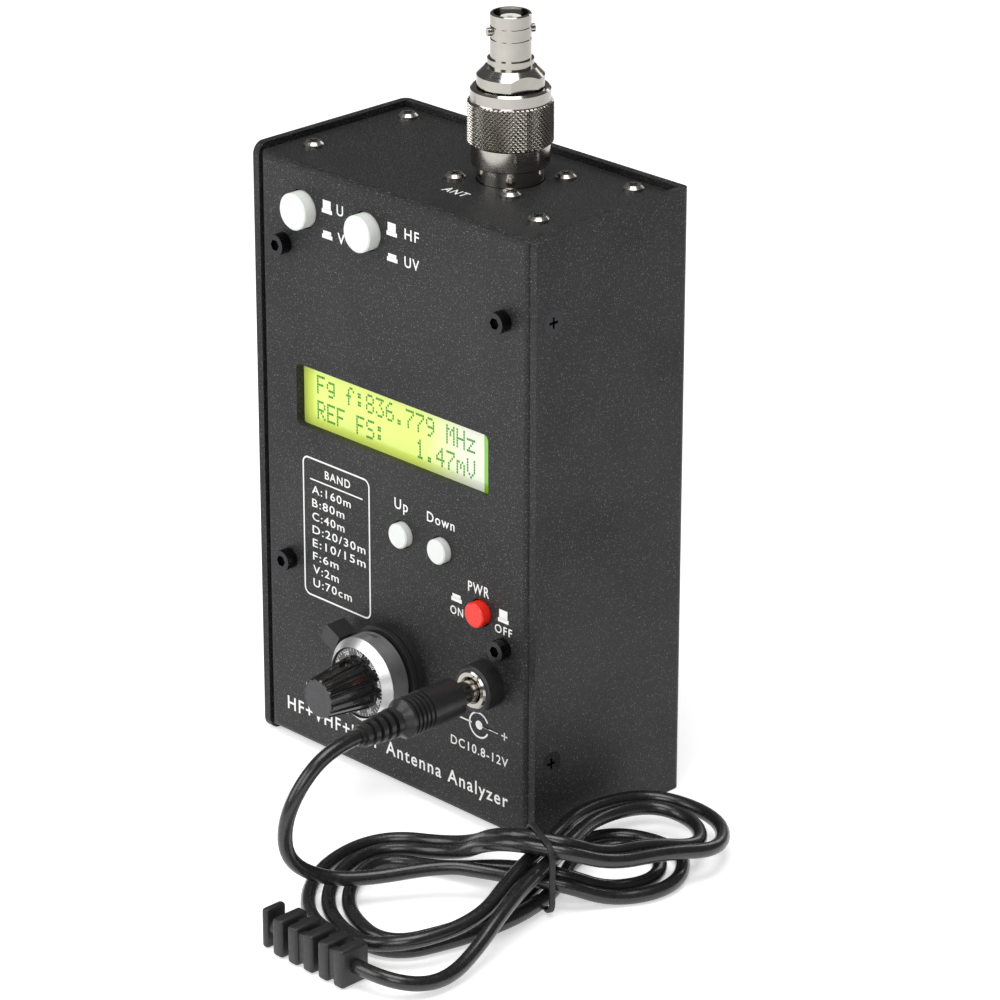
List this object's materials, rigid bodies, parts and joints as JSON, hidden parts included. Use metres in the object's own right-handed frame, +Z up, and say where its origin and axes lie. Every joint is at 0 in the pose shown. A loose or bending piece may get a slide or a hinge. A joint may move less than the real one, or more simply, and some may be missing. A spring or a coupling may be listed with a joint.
{
  "type": "antenna analyzer",
  "caption": "Handheld antenna analyzer in a folded sheet case with a display, push buttons, a geared tuning dial, a supply plug and a bayonet antenna adapter.",
  "frame": {"origin": "centre of the bounding box's underside, without the cord and its plug", "axes": "+X to the front panel's right as a user faces it, +Y from the front panel to the back, +Z up to the antenna socket"},
  "size_m": [0.1332, 0.1278, 0.192],
  "materials": {
    "panel_paint": "black powder coat, fine texture",
    "cover_paint": "black powder coat, fine texture",
    "black_steel": "black oxide",
    "nickel_steel": "nickel plate",
    "plated_brass": "nickel plated brass",
    "green_board": "solder mask over glass fibre",
    "black_chip": "moulded packages",
    "tinned_steel": "tinned",
    "black_frame": "satin black",
    "lcd_glass": "yellow-green display glass",
    "light_guide": "yellow-green light guide",
    "black_plastic": "satin black",
    "rail_aluminium": "extruded, bare",
    "nickel_plate": "bright nickel plate over brass",
    "white_insulator": "white fluoropolymer",
    "gold_plate": "gold plate",
    "blue_plastic": "moulded blue",
    "satin_aluminium": "satin, bright chamfer",
    "gloss_black": "polished black",
    "grey_cap": "mid grey",
    "white_plastic": "white moulded",
    "grey_plastic": "grey moulded",
    "red_plastic": "red moulded",
    "cord_vinyl": "soft black vinyl",
    "tie_rubber": "matt black rubber"
  },
  "bodies": {
    "case": {"front_chassis": "panel_paint", "rear_cover": "cover_paint", "cover_screws": "black_steel", "panel_cap_screws": "black_steel", "board_standoffs": "plated_brass", "board_screws": "nickel_steel", "main_board": "green_board", "board_components": "black_chip", "shield_can": "tinned_steel", "lcd_board": "green_board", "lcd_bezel": "black_frame", "lcd_glass": "lcd_glass", "lcd_backlight": "light_guide", "lcd_header": "black_plastic", "latching_switches": "black_plastic", "tact_switches": "black_plastic", "mounting_rails": "rail_aluminium", "top_screws": "nickel_steel", "rf_board": "green_board", "rf_shield_can": "tinned_steel", "antenna_jack": "nickel_plate", "jack_insulator": "white_insulator", "jack_contact": "gold_plate", "flange_screws": "nickel_steel", "flange_nuts": "nickel_steel", "pot_body": "blue_plastic", "pot_nut": "nickel_steel", "dial_base": "black_plastic", "dial_ring": "satin_aluminium", "dc_jack_collar": "black_plastic", "dc_jack_socket": "nickel_plate", "dc_jack_pin": "gold_plate", "dc_jack_nut": "nickel_steel"},
    "u_v_button": {"u_v_button": "white_plastic", "u_v_plunger": "grey_plastic"},
    "hf_uv_button": {"hf_uv_button": "white_plastic", "hf_uv_plunger": "grey_plastic"},
    "power_button": {"power_button": "red_plastic", "power_plunger": "grey_plastic"},
    "up_button": {"up_button": "white_plastic"},
    "down_button": {"down_button": "white_plastic"},
    "knob": {"pot_shaft": "plated_brass", "scale_disc": "gloss_black", "tuning_knob": "gloss_black", "knob_cap": "grey_cap", "knob_grub_screw": "black_steel"},
    "turn_counter": {"turn_counter_ring": "gloss_black"},
    "brake_lever": {"brake_lever": "gloss_black"},
    "adapter": {"adapter_body": "nickel_plate", "adapter_insulator": "white_insulator", "adapter_contact": "gold_plate"},
    "coupling_nut": {"coupling_nut": "nickel_plate"},
    "plug": {"plug_barrel": "nickel_plate", "plug_insulator": "black_plastic", "plug_grip": "cord_vinyl", "cord_lead": "cord_vinyl", "cord_hank": "cord_vinyl", "cord_tail": "cord_vinyl", "cord_tie": "tie_rubber", "cord_grommet": "tie_rubber"}
  },
  "joints": [
    {"name": "u_v_press", "type": "slide", "parent": "case", "child": "u_v_button", "axis": [0, 1, 0], "range_m": [0, 0.0022], "stiffness_N_per_m": 800, "springref_m": -0.0015},
    {"name": "hf_uv_press", "type": "slide", "parent": "case", "child": "hf_uv_button", "axis": [0, 1, 0], "range_m": [0, 0.0022], "stiffness_N_per_m": 800, "springref_m": -0.0015},
    {"name": "power_press", "type": "slide", "parent": "case", "child": "power_button", "axis": [0, 1, 0], "range_m": [0, 0.0022], "stiffness_N_per_m": 800, "springref_m": -0.0015},
    {"name": "up_press", "type": "slide", "parent": "case", "child": "up_button", "axis": [0, 1, 0], "range_m": [0, 0.0005], "stiffness_N_per_m": 2000, "springref_m": -0.0005},
    {"name": "down_press", "type": "slide", "parent": "case", "child": "down_button", "axis": [0, 1, 0], "range_m": [0, 0.0005], "stiffness_N_per_m": 2000, "springref_m": -0.0005},
    {"name": "knob_turn", "type": "hinge", "parent": "case", "child": "knob", "pos_m": [-0.0011, -0.028, 0.0316], "axis": [0, 1, 0], "range_deg": [-1800, 1800]},
    {"name": "counter_turn", "type": "hinge", "parent": "case", "child": "turn_counter", "pos_m": [-0.0011, -0.0195, 0.0316], "axis": [0, 1, 0], "range_deg": [-180, 180]},
    {"name": "brake_swing", "type": "hinge", "parent": "case", "child": "brake_lever", "pos_m": [-0.0011, -0.016, 0.0316], "axis": [0, 1, 0], "range_deg": [0, 22]},
    {"name": "adapter_lift", "type": "slide", "parent": "case", "child": "adapter", "axis": [0, 0, 1], "range_m": [0, 0.0053]},
    {"name": "coupling_turn", "type": "hinge", "parent": "adapter", "child": "coupling_nut", "pos_m": [0.0109, 0.015, 0.165], "axis": [0, 0, 1], "range_deg": [0, 1800]},
    {"name": "plug_pull", "type": "slide", "parent": "case", "child": "plug", "axis": [0, -1, 0], "range_m": [0, 0.007]}
  ],
  "couplings": [
    {"joint": "counter_turn", "follows": "knob_turn", "ratio": 0.1}
  ]
}
